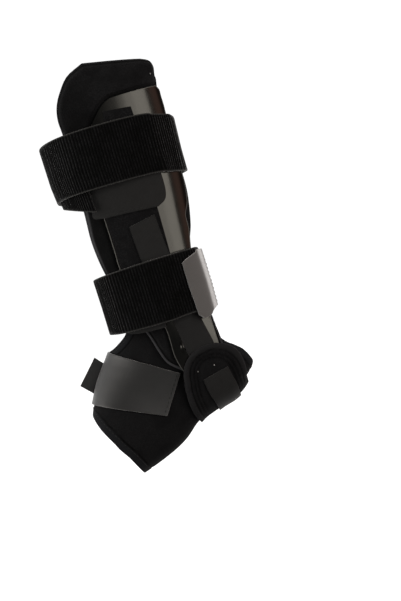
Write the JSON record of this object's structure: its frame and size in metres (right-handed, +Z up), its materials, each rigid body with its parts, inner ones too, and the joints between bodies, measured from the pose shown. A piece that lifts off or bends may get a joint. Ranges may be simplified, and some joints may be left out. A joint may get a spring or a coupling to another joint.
{
  "type": "ankle brace",
  "caption": "Strap-on stirrup ankle brace: padded plastic shells beside the ankle, a soft open-toe sleeve, wide leg straps, an instep strap and a stirrup under the heel.",
  "frame": {"origin": "middle of the ankle joint, inside the sleeve", "axes": "+Z up the leg, -X towards the toes, -Y towards the inner (medial) side of the right leg"},
  "size_m": [0.156, 0.137, 0.3641],
  "materials": {
    "brushed_cloth": "brushed knit over foam",
    "sleeve_cloth": "padded brushed knit",
    "gloss_shell": "moulded, glossy",
    "strap_loop": "ribbed loop pile",
    "patch_loop": "loop velvet",
    "hook_tape": "flat woven hook tape",
    "label_tape": "bare woven tape"
  },
  "bodies": {
    "root": {"ankle_sleeve": "sleeve_cloth", "heel_stirrup": "sleeve_cloth", "heel_strap": "hook_tape", "instep_strap": "hook_tape", "label_tab": "label_tape", "lateral_hook_patch": "patch_loop", "lateral_lift_strip": "hook_tape", "lateral_loop_patch": "patch_loop", "lateral_pad": "brushed_cloth", "lateral_shell": "gloss_shell", "lower_strap": "strap_loop", "lower_strap_anchor": "hook_tape", "lower_strap_tab": "hook_tape", "medial_hook_patch": "patch_loop", "medial_lift_strip": "hook_tape", "medial_loop_patch": "patch_loop", "medial_pad": "brushed_cloth", "medial_shell": "gloss_shell", "upper_strap": "strap_loop", "upper_strap_anchor": "hook_tape", "upper_strap_tab": "hook_tape"}
  },
  "joints": []
}
